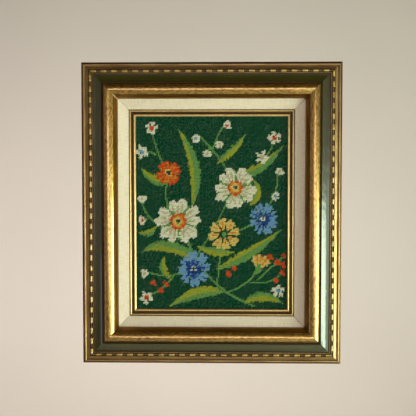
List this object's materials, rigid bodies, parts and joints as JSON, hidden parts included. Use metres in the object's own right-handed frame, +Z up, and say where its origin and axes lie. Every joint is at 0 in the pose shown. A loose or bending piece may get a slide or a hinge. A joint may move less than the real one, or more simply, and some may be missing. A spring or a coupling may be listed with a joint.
{
  "type": "needlepoint canvas panel and picture frame",
  "caption": "Upright needlepoint canvas panel behind a gilt slip and linen liner, in a mitred moulding with painted cove, gilt torus and bead row.",
  "frame": {"origin": "middle of the top rail's flat back, on the wall plane", "axes": "+Z up as it hangs, -Y out of the wall towards the viewer, +X to the viewer's right"},
  "size_m": [0.331, 0.0354, 0.385],
  "materials": {
    "gilt_moulding": "antique bronze-gold leaf and green paint over gesso",
    "bead_row": "worn gold paint",
    "linen": "plain woven linen",
    "gilt_slip": "bright gold leaf",
    "wool": "wool tent stitch on canvas",
    "board": "plain hardboard"
  },
  "bodies": {
    "root": {"moulding_top": "gilt_moulding", "moulding_bottom": "gilt_moulding", "moulding_left": "gilt_moulding", "moulding_right": "gilt_moulding", "bead_strip_top": "bead_row", "bead_strip_bottom": "bead_row", "bead_strip_left": "bead_row", "bead_strip_right": "bead_row", "liner_top": "linen", "liner_bottom": "linen", "liner_left": "linen", "liner_right": "linen", "slip_top": "gilt_slip", "slip_bottom": "gilt_slip", "slip_left": "gilt_slip", "slip_right": "gilt_slip", "needlepoint_canvas": "wool", "backing_board": "board"}
  },
  "joints": []
}
